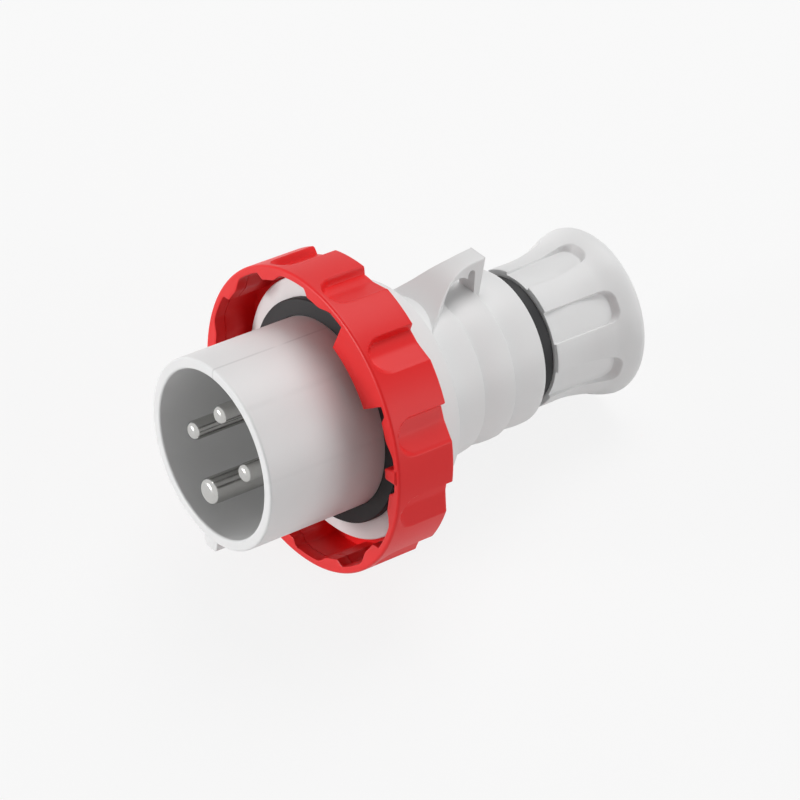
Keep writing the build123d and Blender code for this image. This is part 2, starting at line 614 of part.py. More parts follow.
def nut_groove():
    """A flat-sided grip groove, open at the front, with rounded rear corners and a rising floor."""
    start = NUT_FRONT_Y - NUT_GRIP_CORNER
    length = NUT_GRIP_END_Y - start
    front_floor = NUT_FRONT_R - NUT_GRIP_FRONT_DEPTH
    rear_floor = NUT_WAIST_R - NUT_GRIP_REAR_DEPTH
    low = front_floor - NUT_GRIP_CORNER
    high = NUT_FLARE_R + NUT_GRIP_CORNER
    block = Pos(0, start + length / 2, (low + high) / 2) * Box(NUT_GRIP_WIDTH, length, high - low)
    rear_edges = block.edges().filter_by(Axis.Z).group_by(Axis.Y)[-1]
    block = fillet(rear_edges, NUT_GRIP_CORNER)
    return block - turned([
        (start - 1, 0),
        (start - 1, front_floor),
        (NUT_FRONT_Y, front_floor),
        (NUT_GRIP_END_Y, rear_floor),
        (NUT_GRIP_END_Y + 1, rear_floor),
        (NUT_GRIP_END_Y + 1, 0),
    ])


# Laying the plug down: the well between two grips goes to the bottom, then the
# axis dips until the ring's rear edge and the nut's rim both meet the surface
def rest_turn():
    pitch = 360 / GRIPS
    well = GRIP_PHASE + GRIP_SPAN / 2
    steps = round((180 - well) / pitch)
    return 180 - (well + steps * pitch)


def rest_dip():
    ring_reach = (RING_R - RING_ROUND) * cos(radians(GRIP_SPAN / 2))
    ring_y = RING_REAR_Y - RING_ROUND
    run = NUT_FLARE_Y - ring_y
    drop = ring_reach - (NUT_FLARE_R - NUT_REAR_ROUND)
    ring_round = RING_ROUND
    return degrees(atan2(drop, run) - asin((NUT_REAR_ROUND - ring_round) / hypot(run, drop)))


def build():
    """Every sub-part on the plug's own axis, by node name."""
    nodes = {
        "shroud_housing": shroud_housing(),
        "contact_carrier": contact_carrier(),
        "pin_retainer": pin_retainer(),
        "earth_pin": contact_pin(EARTH_ANGLE, EARTH_PIN_R, EARTH_TIP_Y),
        "terminal_screw_earth": terminal_screw(EARTH_ANGLE, EARTH_PIN_R),
        "face_gasket": face_gasket(),
        "housing_seal": housing_seal(),
        "locking_ring": locking_ring(),
        "rear_housing": rear_housing(),
        "neck_gasket": neck_gasket(),
        "gland_seal": gland_seal(),
        "clamp_collet": clamp_collet(),
        "slip_washer": slip_washer(),
        "gland_nut": gland_nut(),
    }
    for number, angle in enumerate(PIN_ANGLES, 1):
        nodes["phase_pin_%d" % number] = contact_pin(angle, PHASE_PIN_R, PHASE_TIP_Y)
        nodes["terminal_screw_%d" % number] = terminal_screw(angle, PHASE_PIN_R)
    for number, angle in enumerate(FIXING_ANGLES, 1):
        nodes["carrier_screw_%d" % number] = carrier_screw(angle)
    return nodes


def laid_down(nodes):
    """The same parts as they rest, with the origin under the middle of their box."""
    lie = Rot(-rest_dip(), 0, 0) * Rot(0, rest_turn(), 0)
    turned_nodes = {name: lie * shape for name, shape in nodes.items()}
    box = Compound(children=list(turned_nodes.values())).bounding_box()
    shift = Pos(-box.center().X, -box.center().Y, -box.min.Z)
    return {name: shift * lie * nodes[name] for name in nodes}, shift * lie


os.makedirs("parts", exist_ok=True)
parts, placing = laid_down(build())
for name, shape in parts.items():
    export_step(shape, "parts/%s.step" % name)
print("lies turned %.3f and dipped %.3f degrees, placed at %s" % (
    rest_turn(), rest_dip(), tuple(round(v, 3) for v in placing.position)))
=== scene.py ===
# Industrial pin and sleeve plug with a red locking ring, lying on a pale floor.
# Sizes are in millimetres on the plug's own axes: x to its side, y from the
# shroud's rim towards the cable, z up to the cord lug.
import json
import math
import bmesh
import bpy
import numpy as np
from mathutils import Matrix


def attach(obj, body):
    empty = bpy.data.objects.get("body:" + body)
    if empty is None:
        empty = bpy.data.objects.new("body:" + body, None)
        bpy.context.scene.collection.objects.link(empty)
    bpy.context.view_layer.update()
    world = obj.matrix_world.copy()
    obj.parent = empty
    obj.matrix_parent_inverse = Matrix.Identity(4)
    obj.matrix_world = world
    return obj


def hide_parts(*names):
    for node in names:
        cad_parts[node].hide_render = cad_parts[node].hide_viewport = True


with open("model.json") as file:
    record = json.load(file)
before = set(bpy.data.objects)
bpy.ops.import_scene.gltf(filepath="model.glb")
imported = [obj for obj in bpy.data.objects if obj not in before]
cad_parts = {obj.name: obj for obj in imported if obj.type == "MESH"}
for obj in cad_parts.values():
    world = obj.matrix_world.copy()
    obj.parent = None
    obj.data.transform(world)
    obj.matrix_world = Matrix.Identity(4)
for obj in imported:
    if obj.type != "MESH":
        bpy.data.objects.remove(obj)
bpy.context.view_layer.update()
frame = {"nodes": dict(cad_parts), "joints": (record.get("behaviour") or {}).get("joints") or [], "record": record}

# Shroud housing: one light grey moulding, a satin glass-filled nylon. A tube round
# the pins with a rounded rim, the key rib underneath, the flange that the gasket
# lies on, the neck for the ring, and a spigot that screws into the rear housing.
MM = 0.001
MOUNTS = {mount["name"]: mount for mount in frame["record"]["mounts"]}
JOINTS = {joint["name"]: joint for joint in frame["joints"]}
RIM = np.array(MOUNTS["mating_collar"]["pos_m"])
BACK = np.array(JOINTS["gland_nut_turn"]["axis"])
TOP_PIN = np.array(MOUNTS["phase_pin_2_tip"]["pos_m"]) - RIM
UP = TOP_PIN - BACK * (TOP_PIN @ BACK)
UP = UP / np.linalg.norm(UP)
SIDE = np.cross(BACK, UP)

SHROUD_R = 25.25
SHROUD_BORE_R = 22.3
RIM_ROUND = 0.6
FLANGE_FRONT_Y = 36.9
FLANGE_REAR_Y = 39.5
FLANGE_R = 34.9
NECK_R = 28.0
NECK_END_Y = 43.7
SPIGOT_R = 25.0
SPIGOT_END_Y = 53.1
CARRIER_FRONT_Y = 38.5
CARRIER_SEAT_R = 22.0
LEDGE_R = 20.5
KEY_WIDTH = 5.6
KEY_TOP_R = 28.95
KEY_FRONT_Y = 0.7
KEY_REAR_Y = 34.3
KEY_ROUND = 1.8
KEY_ROOT_R = SHROUD_R - 0.6
MOULD_ROUND = 0.4
GREY = (0.72, 0.72, 0.72)


def laid(x, y, z):
    """Points on the plug's axes, in mm, as they lie on the floor, in metres."""
    x, y, z = np.broadcast_arrays(x, y, z)
    return RIM + MM * (x[..., None] * SIDE + y[..., None] * BACK + z[..., None] * UP)


def about_axis(angle, y, radius):
    """Points at an angle from the top, turning towards the side, at a radius from the axis."""
    turn = np.radians(angle)
    return laid(radius * np.sin(turn), y, radius * np.cos(turn))


def rounded(corners, steps=5, hold=0.12):
    """An outline through (a, b, rounding) corners: each rounding is an arc that touches both sides,
    with one more point just past each end of it, which keeps the flats shading flat."""
    points = []
    count = len(corners)
    for i, (a, b, rounding) in enumerate(corners):
        here = np.array((a, b), float)
        if rounding <= 0:
            points.append(here)
            continue
        before = np.array(corners[i - 1][:2], float) - here
        after = np.array(corners[(i + 1) % count][:2], float) - here
        before = before / np.linalg.norm(before)
        after = after / np.linalg.norm(after)
        half = math.acos(np.clip(before @ after, -1, 1)) / 2
        reach = rounding / math.tan(half)
        middle = (before + after) / np.linalg.norm(before + after)
        centre = here + middle * rounding / math.sin(half)
        start = here + before * reach - centre
        finish = here + after * reach - centre
        swing = math.acos(np.clip(start @ finish / rounding ** 2, -1, 1))
        points.append(here + before * (reach + hold))
        for share in np.linspace(0, 1, steps + 1):
            arc = start * math.sin((1 - share) * swing) + finish * math.sin(share * swing)
            points.append(centre + arc / math.sin(swing))
        points.append(here + after * (reach + hold))
    return np.array(points)


def skin(name, points, body, replaces=(), wrap=(True, True), crease=35):
    """A closed skin over a grid of points: quads between neighbours, wrapped each way that is asked,
    doubles merged, faces outwards, and creased where two faces meet at more than the given angle."""
    rows, columns = points.shape[:2]
    index = np.arange(rows * columns).reshape(rows, columns)
    across = np.roll(index, -1, 0) if wrap[0] else index[1:]
    base = index if wrap[0] else index[:-1]
    if wrap[1]:
        quads = np.stack([base, across, np.roll(across, -1, 1), np.roll(base, -1, 1)], -1)
    else:
        quads = np.stack([base[:, :-1], across[:, :-1], across[:, 1:], base[:, 1:]], -1)
    mesh = bpy.data.meshes.new(name)
    mesh.from_pydata(points.reshape(-1, 3).tolist(), [], quads.reshape(-1, 4).tolist())
    work = bmesh.new()
    work.from_mesh(mesh)
    bmesh.ops.remove_doubles(work, verts=work.verts, dist=2e-6)
    open_edges = [edge for edge in work.edges if edge.is_boundary]
    bmesh.ops.holes_fill(work, edges=open_edges, sides=0)
    bmesh.ops.recalc_face_normals(work, faces=work.faces)
    if work.calc_volume(signed=True) < 0:
        bmesh.ops.reverse_faces(work, faces=work.faces)
    work.to_mesh(mesh)
    work.free()
    mesh.shade_smooth()
    mesh.set_sharp_from_angle(angle=math.radians(crease))
    piece = bpy.data.objects.new(name, mesh)
    bpy.context.scene.collection.objects.link(piece)
    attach(piece, body)
    if replaces:
        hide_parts(*replaces)
    return piece


def turned(name, corners, body, replaces=(), sides=160, steps=5):
    """A closed outline of (y, radius, rounding) corners, turned about the plug's axis."""
    outline = rounded(corners, steps)
    angle = np.linspace(0, 360, sides, endpoint=False)[:, None]
    return skin(name, about_axis(angle, outline[:, 0], outline[:, 1]), body, replaces)


def bar(name, corners, y0, y1, rounding, body):
    """A straight bar along the plug: a closed outline of (x, z, rounding) corners, with rounded ends.
    Near each end the outline shrinks towards its middle as a quarter circle does."""
    outline = rounded(corners, 4)
    middle = (outline.max(0) + outline.min(0)) / 2
    quarter = np.linspace(0, math.pi / 2, 5)
    inset = np.concatenate([rounding * (1 - np.sin(quarter)), rounding * (1 - np.sin(quarter[::-1]))])
    y = np.concatenate([y0 + rounding * (1 - np.cos(quarter)), y1 - rounding * (1 - np.cos(quarter[::-1]))])
    size = (outline.max(0) - outline.min(0)) / 2
    scale = 1 - inset[:, None] / size
    ring = middle + (outline - middle)[None] * scale[:, None]
    return skin(name, laid(ring[..., 0], y[:, None], ring[..., 1]), body, wrap=(False, True))


class Value:
    """A node's socket that takes Python's arithmetic: each sign adds the Math node that does it."""

    def __init__(self, finish, socket):
        self.finish = finish
        self.socket = socket

    def maths(self, operation, *inputs):
        return self.finish.node("ShaderNodeMath", {"operation": operation}, *inputs)

    def __add__(self, other):
        return self.maths("ADD", self, other)

    def __mul__(self, other):
        return self.maths("MULTIPLY", self, other)

    def __sub__(self, other):
        return self.maths("SUBTRACT", self, other)

    def __rsub__(self, other):
        return self.maths("SUBTRACT", other, self)

    def __abs__(self):
        return self.maths("ABSOLUTE", self)

    __radd__ = __add__
    __rmul__ = __mul__

    def above(self, low, high):
        """0 below low, 1 above high, and a soft rise between."""
        return self.finish.node("ShaderNodeMapRange", {"interpolation_type": "SMOOTHSTEP"}, self, low, high,
                                0.0, 1.0)


class Finish:
    """A material, or the world, whose nodes are written as expressions on values."""

    def __init__(self, home):
        home.use_nodes = True
        self.home = home
        self.tree = home.node_tree
        self.tree.nodes.clear()
        self.place = self.node("ShaderNodeTexCoord", {}, out="Object")

    def node(self, kind, settings, *inputs, out=0, **named):
        """One node: its settings first, then its sockets by place or by name, each a value or a link. A place
        given None is left as it is."""
        made = self.tree.nodes.new(kind)
        for setting, value in settings.items():
            setattr(made, setting, value)
        sockets = list(enumerate(inputs)) + [(key.replace("_", " "), value) for key, value in named.items()]
        for key, value in sockets:
            if isinstance(value, Value):
                self.tree.links.new(value.socket, made.inputs[key])
            elif value is not None:
                made.inputs[key].default_value = value
        return Value(self, made.outputs[out] if made.outputs else None)

    def noise(self, size, detail=2.0, roughness=0.5):
        """Noise from 0 to 1 whose lumps are about the given size in mm."""
        return self.node("ShaderNodeTexNoise", {}, Vector=self.place, Scale=1 / (size * MM), Detail=detail,
                         Roughness=roughness)

    def along(self, direction, origin=RIM):
        """The distance from a point on the plug's axis, in mm, along one of its directions."""
        moved = self.node("ShaderNodeVectorMath", {"operation": "SUBTRACT"}, self.place, tuple(origin))
        return self.node("ShaderNodeVectorMath", {"operation": "DOT_PRODUCT"}, moved, tuple(direction),
                         out="Value") * (1 / MM)

    def tint(self, colour, share, amount):
        """A colour from darker to lighter by the amount, as the share goes from 0 to 1. A mix node has five
        places for numbers and directions between its factor and its two colours."""
        low = tuple(c * (1 - amount) for c in colour) + (1.0,)
        high = tuple(min(1.0, c * (1 + amount)) for c in colour) + (1.0,)
        return self.node("ShaderNodeMix", {"data_type": "RGBA"}, share, *[None] * 5, low, high, out=2)

    def close(self, colour, roughness, height, depth, **fixed):
        """The shader itself: what varies goes to colour, roughness and bump, and the rest is set on its
        sockets."""
        normal = self.node("ShaderNodeBump", {}, Height=height, Strength=1.0, Distance=depth * MM)
        shader = self.node("ShaderNodeBsdfPrincipled", {}, Base_Color=colour, Roughness=roughness, Normal=normal,
                           **fixed)
        self.node("ShaderNodeOutputMaterial", {}, Surface=shader)
        return self.home


def moulded(name, colour, roughness, lines=(), ior=1.5):
    """Satin moulded plastic: faint cloudiness, a fine eroded grain, and the lines that the mould leaves along
    the plug. Each line has an angle from the top, a width in mm and a strength."""
    finish = Finish(bpy.data.materials.new(name))
    cloud = finish.noise(9.0, 3.0)
    grain = finish.noise(0.35, 2.0, 0.6)
    height = grain * 0.5 + cloud * 0.15
    shade = cloud * 0.12 + 0.54
    for turn, width, strength in lines:
        outward = math.sin(math.radians(turn)) * SIDE + math.cos(math.radians(turn)) * UP
        off_line = abs(finish.along(np.cross(outward, BACK)))
        line = (1 - off_line.above(0.0, width)) * finish.along(outward).above(0.0, 1.0) * cloud.above(0.3, 0.55)
        shade = shade - line * strength
        height = height - line * strength
    return finish.close(finish.tint(colour, shade, 0.15), grain * 0.10 + cloud * 0.06 + (roughness - 0.08),
                        height, 0.025, IOR=ior)


def dressed(piece, material):
    """Gives a piece its material, in every slot that it has."""
    if not piece.material_slots:
        piece.data.materials.append(material)
    for slot in piece.material_slots:
        slot.material = material


shroud_moulding = moulded("shroud_moulding", GREY, 0.46, ((0, 0.5, 0.6), (33, 1.3, 0.13), (76, 1.0, 0.09)))
shroud = turned("shroud", [
    (0.0, SHROUD_BORE_R, RIM_ROUND),
    (0.0, SHROUD_R, RIM_ROUND),
    (FLANGE_FRONT_Y, SHROUD_R, 0),
    (FLANGE_FRONT_Y, FLANGE_R, MOULD_ROUND),
    (FLANGE_REAR_Y, FLANGE_R, MOULD_ROUND),
    (FLANGE_REAR_Y, NECK_R, 0),
    (NECK_END_Y, NECK_R, 0),
    (NECK_END_Y, SPIGOT_R, 0),
    (SPIGOT_END_Y, SPIGOT_R, 0),
    (SPIGOT_END_Y, CARRIER_SEAT_R, 0),
    (CARRIER_FRONT_Y, CARRIER_SEAT_R, 0),
    (CARRIER_FRONT_Y, LEDGE_R, 0),
    (FLANGE_FRONT_Y, LEDGE_R, 0),
    (FLANGE_FRONT_Y, SHROUD_BORE_R, 0),
], "plug_body", ["shroud_housing"], sides=220)
dressed(shroud, shroud_moulding)
key_rib = bar("key_rib", [
    (-KEY_WIDTH / 2, -KEY_ROOT_R, 0),
    (-KEY_WIDTH / 2, -KEY_TOP_R, KEY_ROUND),
    (KEY_WIDTH / 2, -KEY_TOP_R, KEY_ROUND),
    (KEY_WIDTH / 2, -KEY_ROOT_R, 0),
], KEY_FRONT_Y, KEY_REAR_Y, MOULD_ROUND, "plug_body")
dressed(key_rib, shroud_moulding)

# Face gasket: a flat ring of black rubber that lies on the flange, round the
# shroud. The rim of the socket's well presses into it when the ring is locked.
GASKET_FRONT_Y = 34.6
GASKET_R = 29.75
GASKET_GAP = 0.1
RUBBER = (0.010, 0.010, 0.011)


def rubber(name):
    """Soft black rubber: dull, with a fine dusty grain."""
    finish = Finish(bpy.data.materials.new(name))
    cloud = finish.noise(4.0, 3.0)
    grain = finish.noise(0.2, 2.0, 0.6)
    return finish.close(finish.tint(RUBBER, cloud, 0.25), grain * 0.12 + cloud * 0.08 + 0.52,
                        grain * 0.6 + cloud * 0.4, 0.02, IOR=1.45)


black_rubber = rubber("black_rubber")
face_gasket = turned("face_gasket_ring", [
    (GASKET_FRONT_Y, SHROUD_R + GASKET_GAP, 0.15),
    (GASKET_FRONT_Y, GASKET_R, MOULD_ROUND),
    (FLANGE_FRONT_Y, GASKET_R, 0.1),
    (FLANGE_FRONT_Y, SHROUD_R + GASKET_GAP, 0),
], "plug_body", ["face_gasket"])
dressed(face_gasket, black_rubber)

# Insert: the moulded block at the bottom of the shroud that carries the pins, the
# plate behind it and their two screws. Only the block's front face is in view.
INSERT_GREY = (0.50, 0.50, 0.50)
insert_plastic = moulded("insert_plastic", INSERT_GREY, 0.55)
for node in ("contact_carrier", "pin_retainer"):
    dressed(frame["nodes"][node], insert_plastic)

# Contact pins: turned brass under bright nickel, with a rounded tip, a shank and a
# collar held in the insert, and a pillar terminal behind. The earth pin is thicker.
PIN_CIRCLE_R = 11.0
PHASE_PIN_ANGLES = (270, 0, 90)
EARTH_PIN_ANGLE = 180
PHASE_PIN_R = 2.5
EARTH_PIN_R = 3.5
PHASE_TIP_Y = 1.6
EARTH_TIP_Y = -0.9
PIN_TIP_ROUND = 1.5
SHANK_STEP = 0.5
COLLAR_STEP = 1.4
TERMINAL_STEP = 0.9
COLLAR_FRONT_Y = 44.1
COLLAR_REAR_Y = 50.5
TERMINAL_END_Y = 64.9
NICKEL = (0.52, 0.515, 0.50)


def nickel(name):
    """Bright nickel plate over turned brass: rings of fine tool marks and faint handling marks."""
    finish = Finish(bpy.data.materials.new(name))
    rings = finish.node("ShaderNodeTexNoise", {"noise_dimensions": "1D"}, W=finish.along(BACK), Scale=9.0,
                        Detail=2.0)
    haze = finish.noise(2.5, 3.0)
    return finish.close(finish.tint(NICKEL, haze, 0.06), haze * 0.10 + rings * 0.05 + 0.15,
                        rings * 0.8 + haze * 0.2, 0.004, Metallic=1.0)


def contact_pin(name, angle, radius, tip_y, node):
    """A pin turned about its own line: each outline point (y, r) goes round it."""
    outline = rounded([
        (tip_y, 0.0, 0),
        (tip_y, radius, PIN_TIP_ROUND),
        (CARRIER_FRONT_Y, radius, 0),
        (CARRIER_FRONT_Y, radius + SHANK_STEP, 0),
        (COLLAR_FRONT_Y, radius + SHANK_STEP, 0),
        (COLLAR_FRONT_Y, radius + COLLAR_STEP, 0),
        (COLLAR_REAR_Y, radius + COLLAR_STEP, 0),
        (COLLAR_REAR_Y, radius + TERMINAL_STEP, 0),
        (TERMINAL_END_Y, radius + TERMINAL_STEP, 0),
        (TERMINAL_END_Y, 0.0, 0),
    ], 6)
    turn = np.linspace(0, 2 * math.pi, 48, endpoint=False)[:, None]
    x = PIN_CIRCLE_R * math.sin(math.radians(angle)) + outline[:, 1] * np.cos(turn)
    z = PIN_CIRCLE_R * math.cos(math.radians(angle)) + outline[:, 1] * np.sin(turn)
    return skin(name, laid(x, outline[:, 0], z), "plug_body", [node], wrap=(True, False))


bright_nickel = nickel("bright_nickel")
for number, angle in enumerate(PHASE_PIN_ANGLES, 1):
    node = "phase_pin_%d" % number
    dressed(contact_pin(node + "_turned", angle, PHASE_PIN_R, PHASE_TIP_Y, node), bright_nickel)
dressed(contact_pin("earth_pin_turned", EARTH_PIN_ANGLE, EARTH_PIN_R, EARTH_TIP_Y, "earth_pin"), bright_nickel)

# Small screws: zinc-plated steel, one through each pillar terminal and two that
# draw the retaining plate onto the insert. All are inside the housings.
ZINC = (0.55, 0.56, 0.57)


def zinc(name):
    """Zinc plate: a dull silver with cloudy patches."""
    finish = Finish(bpy.data.materials.new(name))
    cloud = finish.noise(0.8, 3.0)
    grain = finish.noise(0.15, 2.0)
    return finish.close(finish.tint(ZINC, cloud, 0.12), cloud * 0.2 + 0.25, grain, 0.01, Metallic=1.0)


zinc_plate = zinc("zinc_plate")
for node in sorted(frame["nodes"]):
    if "screw" in node:
        dressed(frame["nodes"][node], zinc_plate)

# Locking ring: red glass-filled nylon, turned by hand to hook over the socket's lugs.
# Twelve one-way finger scoops outside, a wavy wall inside that follows them, two
# ramps flush with the front face, two small nubs, and a web that turns on the neck.
RING_R = 40.7
RING_FRONT_Y = 27.2
RING_REAR_Y = 44.4
RING_ROUND = 0.7
RING_INSIDE_R = 38.7
RING_TIP_R = 36.8
RECESS_R = 36.3
RECESS_ROUND = 0.35
WEB_FRONT_Y = 39.8
WEB_REAR_Y = 43.4
WEB_BORE_R = 28.05
WEB_ROUND = 0.3
GRIPS = 12
GRIP_PHASE = 1.5
GRIP_SPAN = 14.5
GRIP_FLOOR_SPAN = 6.0
GRIP_DEPTH = 2.1
GRIP_SLOPE_CURVE = 1.25
GRIP_LEAD = 3.0
GRIP_FRONT_Y = 28.6
GRIP_EDGE = 0.75
RAMP_INNER_R = 30.7
RAMP_START = 22.5
RAMP_SPAN = 32.5
RAMP_THICKNESS = 3.4
RAMP_RISE = 1.6
NUB_START = 79.0
NUB_SPAN = 6.2
NUB_INNER_R = 35.7
NUB_OUTER_R = 39.7
NUB_PROUD = 0.5
NUB_LENGTH = 3.2
RAMP_END = 0.25
NUB_END = 1.1
BLOCK_EDGE = 0.25
RED = (0.72, 0.007, 0.008)


def eased(share):
    """A share from 0 to 1 with a soft start and end: 3 s squared less 2 s cubed."""
    share = np.clip(share, 0, 1)
    return share * share * (3 - 2 * share)


def scoop_depth(angle, y):
    """How far the skin sinks at a finger scoop. The scoop's plan is a strip with a half-round front end,
    and its depth is full along the floor, then falls away to nothing up the slope."""
    arc = RING_R * math.pi / 180
    width = GRIP_SPAN * arc
    across = ((angle - GRIP_PHASE) % (360 / GRIPS)) * arc
    from_middle = across - width / 2
    from_arch = y - (GRIP_FRONT_Y + width / 2)
    round_end = np.hypot(from_middle, np.minimum(from_arch, 0))
    inside = width / 2 - round_end
    slope = (across - GRIP_FLOOR_SPAN * arc) / (width - GRIP_FLOOR_SPAN * arc)
    depth = GRIP_DEPTH * (1 - np.clip(slope, 0, 1) ** GRIP_SLOPE_CURVE)
    return depth * eased(inside / GRIP_EDGE)


def inner_wall_r(angle):
    """The wall's inside radius: it steps in behind each grip's steep side and eases out along its slope."""
    local = (angle - GRIP_PHASE + GRIP_LEAD) % (360 / GRIPS) - GRIP_LEAD
    rise = eased((local + GRIP_LEAD) / GRIP_LEAD)
    fall = eased((local - GRIP_FLOOR_SPAN) / (GRIP_SPAN - GRIP_FLOOR_SPAN))
    return RING_INSIDE_R - (RING_INSIDE_R - RING_TIP_R) * rise * (1 - fall)


def block_share(angle, start, span, end):
    """1 within a block's span of angle, on either side of the ring, and 0 outside, with rounded ends."""
    local = (angle - start) % 180
    return eased(local / end) * eased((span - local) / end) * (local < span)


def ring_angles():
    """Angles round the ring, closer together at each grip's steep side and at the ends of the blocks."""
    wall = np.linspace(0, 1.6, 9)
    slope = np.linspace(2.2, GRIP_SPAN - 1.1, 15)
    slope_end = np.linspace(GRIP_SPAN - 0.6, GRIP_SPAN + 0.5, 4)
    land = np.linspace(GRIP_SPAN + 2.0, GRIP_SPAN + 11.5, 7)
    lead = np.linspace(-GRIP_LEAD - 0.2, -0.3, 7)
    grip = np.concatenate([lead, wall, slope, slope_end, land])
    angles = [GRIP_PHASE + grip + i * 360 / GRIPS for i in range(GRIPS)]
    for turn in (0, 180):
        for start, span, end in ((RAMP_START, RAMP_SPAN, RAMP_END), (NUB_START, NUB_SPAN, NUB_END)):
            ends = np.linspace(-0.1, end + 0.1, 6)
            angles += [start + turn + ends, start + turn + span - ends]
    return np.unique(np.round(np.concatenate(angles) % 360, 2))


# At each angle the skin is a loop: the turned outline less the scoops, then from
# the web forward along the wavy wall, over the ramps and nubs, and out to the face.
angle = ring_angles()[:, None]
wall_r = inner_wall_r(angle)
ramp = block_share(angle, RAMP_START, RAMP_SPAN, RAMP_END)
nub = block_share(angle, NUB_START, NUB_SPAN, NUB_END)
climb = np.clip(((angle - RAMP_START) % 180) / RAMP_SPAN, 0, 1)
mouth_r = wall_r + (RAMP_INNER_R - wall_r) * ramp + (NUB_INNER_R - wall_r) * nub
block_rear_y = RING_FRONT_Y + NUB_LENGTH + (RAMP_THICKNESS + RAMP_RISE * climb - NUB_LENGTH) * ramp
outer = rounded([
    (RING_FRONT_Y, RING_INSIDE_R, 0),
    (RING_FRONT_Y, RING_R, RING_ROUND),
    (RING_REAR_Y, RING_R, RING_ROUND),
    (RING_REAR_Y, RECESS_R, RECESS_ROUND),
    (WEB_REAR_Y, RECESS_R, 0),
    (WEB_REAR_Y, WEB_BORE_R, WEB_ROUND),
    (WEB_FRONT_Y, WEB_BORE_R, WEB_ROUND),
    (WEB_FRONT_Y, RING_INSIDE_R, 0),
], 5)[1:-1]
skin_start = int(np.argmax(outer[:, 0] > RING_FRONT_Y + RING_ROUND + 0.05)) + 1
skin_y = np.concatenate([np.linspace(GRIP_FRONT_Y - 0.4, GRIP_FRONT_Y + 5.8, 18),
                         np.linspace(GRIP_FRONT_Y + 6.6, RING_REAR_Y - 1.2, 9)])
outer = np.concatenate([outer[:skin_start], np.stack([skin_y, 0 * skin_y + RING_R], -1), outer[skin_start:]])
loop_y = np.broadcast_to(outer[:, 0], (len(angle), len(outer))).copy()
loop_r = np.broadcast_to(outer[:, 1], loop_y.shape).copy()
on_skin = outer[:, 1] > RECESS_R + 1.5
loop_r[:, on_skin] -= scoop_depth(angle, loop_y[:, on_skin])
ones = np.ones_like(wall_r)
inside = [(y * ones, wall_r) for y in (WEB_FRONT_Y, WEB_FRONT_Y - 0.3, WEB_FRONT_Y - 3.3, WEB_FRONT_Y - 5.8)]
inside += [
    (block_rear_y, wall_r),
    (block_rear_y, wall_r + (mouth_r - wall_r) * 0.5),
    (block_rear_y, mouth_r + BLOCK_EDGE),
    (block_rear_y - BLOCK_EDGE, mouth_r),
    (RING_FRONT_Y + 0.4 * ones, mouth_r),
    (RING_FRONT_Y + 0.1 * ones, mouth_r + 0.08),
    (RING_FRONT_Y * ones, mouth_r + 0.35),
]
face_r = min(NUB_OUTER_R, RING_R - RING_ROUND - 0.1)
inside += [(RING_FRONT_Y * ones, mouth_r + (face_r - mouth_r) * share) for share in (0.35, 0.7, 0.96)]
inside += [(RING_FRONT_Y * ones, face_r * ones)]
inside_loop_y = np.concatenate([y for y, r in inside], 1)
inside_loop_r = np.concatenate([r for y, r in inside], 1)
proud = NUB_PROUD * nub * (inside_loop_r < face_r - 0.05) * (inside_loop_y < RING_FRONT_Y + 0.2)
inside_loop_y = inside_loop_y - proud
loop_y = np.concatenate([loop_y, inside_loop_y], 1)
loop_r = np.concatenate([loop_r, inside_loop_r], 1)
ring = skin("locking_ring_moulding", about_axis(angle, loop_y, loop_r), "locking_ring",
            ["locking_ring"], crease=40)
dressed(ring, moulded("red_moulding", RED, 0.42, ior=1.4))

# Rear housing: one grey moulding. A bell over the ring's neck, three grip sections
# that each swell and end in a rounded lip, the cord lug on top, and the threaded
# spigot under the gland nut.
BELL_R = 31.5
BELL_STRAIGHT = 3.0
BELL_ROUND = 2.0
BELL_END_ROUND = 1.1
BELL_END_Y = 56.2
BELL_END_R = 28.4
STEP_ENDS_Y = (69.2, 79.3, 90.2)
STEP_ROOTS_R = (22.3, 20.9, 20.3)
STEP_CROWNS_R = (22.85, 21.9, 21.2)
STEP_LIPS_R = (22.15, 21.95, 21.2)
STEP_ROUNDS = (0.5, 0.5, 1.1)
HOUSING_WALL = 2.2
SEAT_R = 25.05
SHOULDER_Y = 53.9
GLAND_SPIGOT_R = 16.2
GLAND_SPIGOT_END_Y = 110.5
GLAND_SPIGOT_BEVEL = 0.4
GLAND_BORE_R = 12.7
GLAND_SHELF_R = 9.6
GLAND_SHELF_REAR_Y = 92.5
THREAD_START_Y = 96.5
THREAD_END_Y = 109.9
THREAD_PITCH = 3.0
THREAD_DEPTH = 0.8


def swelling(start, end, root, crown, lip):
    """A section's side: a parabola through its root, its crown half way, and its lip."""
    share = np.linspace(0, 1, 12)
    line = root * (1 - share) * (1 - 2 * share) + crown * 4 * share * (1 - share) + lip * share * (2 * share - 1)
    return start + share * (end - start), line


def rounded_lip(y, r, end, lip, rounding):
    """The side cut short of its lip, then a quarter circle down onto the rear face."""
    keep = y < end - rounding
    edge = np.interp(end - rounding, y, r)
    turn = np.linspace(0, math.pi / 2, 7)
    lip_y = end - rounding + rounding * np.sin(turn)
    lip_r = edge - rounding + rounding * np.cos(turn)
    return np.concatenate([y[keep], lip_y]), np.concatenate([r[keep], lip_r])


